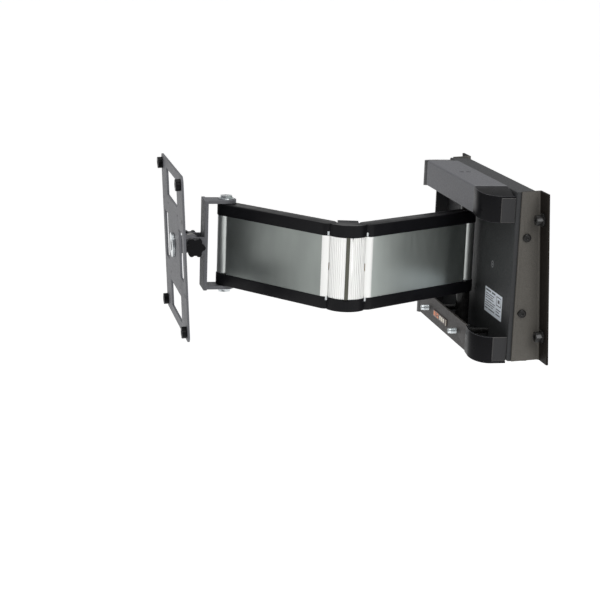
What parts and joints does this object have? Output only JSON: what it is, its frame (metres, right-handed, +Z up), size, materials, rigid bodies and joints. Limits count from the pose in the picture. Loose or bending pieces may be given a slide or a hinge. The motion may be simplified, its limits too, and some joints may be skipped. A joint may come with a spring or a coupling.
{
  "type": "full motion tv wall mount",
  "caption": "Full motion wall mount for a television: a level adjustable wall unit, two links with a geared double elbow, and a swivelling, tilting screen plate.",
  "frame": {"origin": "middle of the four wall bolts, on the wall plane behind the flanges", "axes": "+X along the wall to the right seen from the room, +Y into the wall, +Z up"},
  "size_m": [0.373, 0.4675, 0.2574],
  "materials": {
    "powder_coat_grey": "satin, fine texture",
    "powder_coat_brown": "satin, fine texture",
    "zinc_steel": "bright zinc",
    "black_steel": "black oxide",
    "gloss_black": "gloss",
    "cap_black": "satin",
    "brushed_aluminium": "brushed, clear anodised",
    "gear_brass": "machined",
    "nylon": "natural",
    "seam_olive": "matte",
    "label_white": "matte",
    "badge": "satin"
  },
  "bodies": {
    "wall_unit": {"left_cheek": "powder_coat_brown", "right_cheek": "powder_coat_brown", "upper_tie_bar": "powder_coat_grey", "lower_tie_bar": "powder_coat_grey", "wall_bolts": "black_steel", "pivot_screws": "black_steel"},
    "chassis": {"face_plate": "powder_coat_grey", "upper_bracket": "powder_coat_grey", "lower_bracket": "powder_coat_grey", "upper_near_cover": "gloss_black", "upper_far_cover": "gloss_black", "lower_near_cover": "gloss_black", "lower_far_cover": "gloss_black", "bracket_end_plates": "powder_coat_grey", "shaft_plate": "powder_coat_grey", "shoulder_shaft": "zinc_steel", "shoulder_spacers": "black_steel", "clamp_screws": "black_steel", "badge_plate": "badge", "rating_label": "label_white"},
    "near_jack": {"near_jack_screw": "zinc_steel"},
    "far_jack": {"far_jack_screw": "zinc_steel"},
    "rear_link": {"rear_beam": "brushed_aluminium", "rear_top_cap": "cap_black", "rear_bottom_cap": "cap_black", "shoulder_barrel": "brushed_aluminium", "rear_elbow_bushes": "nylon", "rear_gear": "gear_brass"},
    "knuckle": {"knuckle_top_cap": "cap_black", "knuckle_bottom_cap": "cap_black", "knuckle_rear_shell": "brushed_aluminium", "knuckle_front_shell": "brushed_aluminium", "knuckle_seam_strip": "seam_olive", "knuckle_inner_cover": "cap_black", "knuckle_plates": "zinc_steel", "elbow_shafts": "zinc_steel", "idler_shafts": "zinc_steel"},
    "rear_idler": {"rear_idler_gear": "gear_brass"},
    "front_idler": {"front_idler_gear": "gear_brass"},
    "front_link": {"front_beam": "brushed_aluminium", "front_top_cap": "cap_black", "front_bottom_cap": "cap_black", "wrist_barrel": "brushed_aluminium", "front_elbow_bushes": "nylon", "front_gear": "gear_brass"},
    "yoke": {"wrist_yoke": "powder_coat_grey", "wrist_shaft": "zinc_steel", "wrist_washers": "zinc_steel", "tilt_pin": "zinc_steel", "tilt_washers": "nylon"},
    "near_knob": {"near_tilt_knob": "gloss_black"},
    "far_knob": {"far_tilt_knob": "gloss_black"},
    "hub": {"tilt_hub": "powder_coat_grey", "roll_nut": "zinc_steel"},
    "screen_head": {"screen_plate": "powder_coat_grey", "screen_spacers": "gloss_black"}
  },
  "joints": [
    {"name": "level_adjust", "type": "hinge", "parent": "wall_unit", "child": "chassis", "pos_m": [0, -0.0205, 0.0526], "axis": [1, 0, 0], "range_deg": [-1.5, 1.5]},
    {"name": "near_jack_turn", "type": "hinge", "parent": "chassis", "child": "near_jack", "pos_m": [0.068, -0.04573, -0.09238], "axis": [0, -0.9981, 0.061], "range_deg": [-180, 180]},
    {"name": "far_jack_turn", "type": "hinge", "parent": "chassis", "child": "far_jack", "pos_m": [-0.068, -0.04573, -0.09238], "axis": [0, -0.9981, 0.061], "range_deg": [-180, 180]},
    {"name": "shoulder_swing", "type": "hinge", "parent": "chassis", "child": "rear_link", "pos_m": [-0.0051, -0.05418, 0.00532], "axis": [0, 0.061, 0.9981], "range_deg": [-60, 57]},
    {"name": "rear_elbow", "type": "hinge", "parent": "rear_link", "child": "knuckle", "pos_m": [0.09395, -0.22068, 0.0155], "axis": [0, -0.061, -0.9981], "range_deg": [-41, 30]},
    {"name": "rear_idler_turn", "type": "hinge", "parent": "knuckle", "child": "rear_idler", "pos_m": [0.09065, -0.238, 0.01656], "axis": [0, -0.061, -0.9981], "range_deg": [-41, 30]},
    {"name": "front_idler_turn", "type": "hinge", "parent": "knuckle", "child": "front_idler", "pos_m": [0.08736, -0.25533, 0.01762], "axis": [0, -0.061, -0.9981], "range_deg": [-30, 41]},
    {"name": "front_elbow", "type": "hinge", "parent": "knuckle", "child": "front_link", "pos_m": [0.08406, -0.27265, 0.01868], "axis": [0, -0.061, -0.9981], "range_deg": [-41, 30]},
    {"name": "wrist_swivel", "type": "hinge", "parent": "front_link", "child": "yoke", "pos_m": [-0.06133, -0.38521, 0.02556], "axis": [0, 0.061, 0.9981], "range_deg": [-130, 35]},
    {"name": "near_knob_turn", "type": "hinge", "parent": "yoke", "child": "near_knob", "pos_m": [-0.03633, -0.43113, 0.02837], "axis": [1, 0, 0], "range_deg": [-180, 180]},
    {"name": "far_knob_turn", "type": "hinge", "parent": "yoke", "child": "far_knob", "pos_m": [-0.08633, -0.43113, 0.02837], "axis": [1, 0, 0], "range_deg": [-180, 180]},
    {"name": "tilt", "type": "hinge", "parent": "yoke", "child": "hub", "pos_m": [-0.06133, -0.43113, 0.02837], "axis": [1, 0, 0], "range_deg": [-12, 12]},
    {"name": "screen_level", "type": "hinge", "parent": "hub", "child": "screen_head", "pos_m": [-0.06133, -0.43113, 0.02837], "axis": [0, 1, 0], "range_deg": [-5, 5]}
  ],
  "couplings": [
    {"joint": "front_elbow", "follows": "rear_elbow", "ratio": 1},
    {"joint": "rear_idler_turn", "follows": "rear_elbow", "ratio": 1},
    {"joint": "front_idler_turn", "follows": "rear_elbow", "ratio": -1}
  ]
}
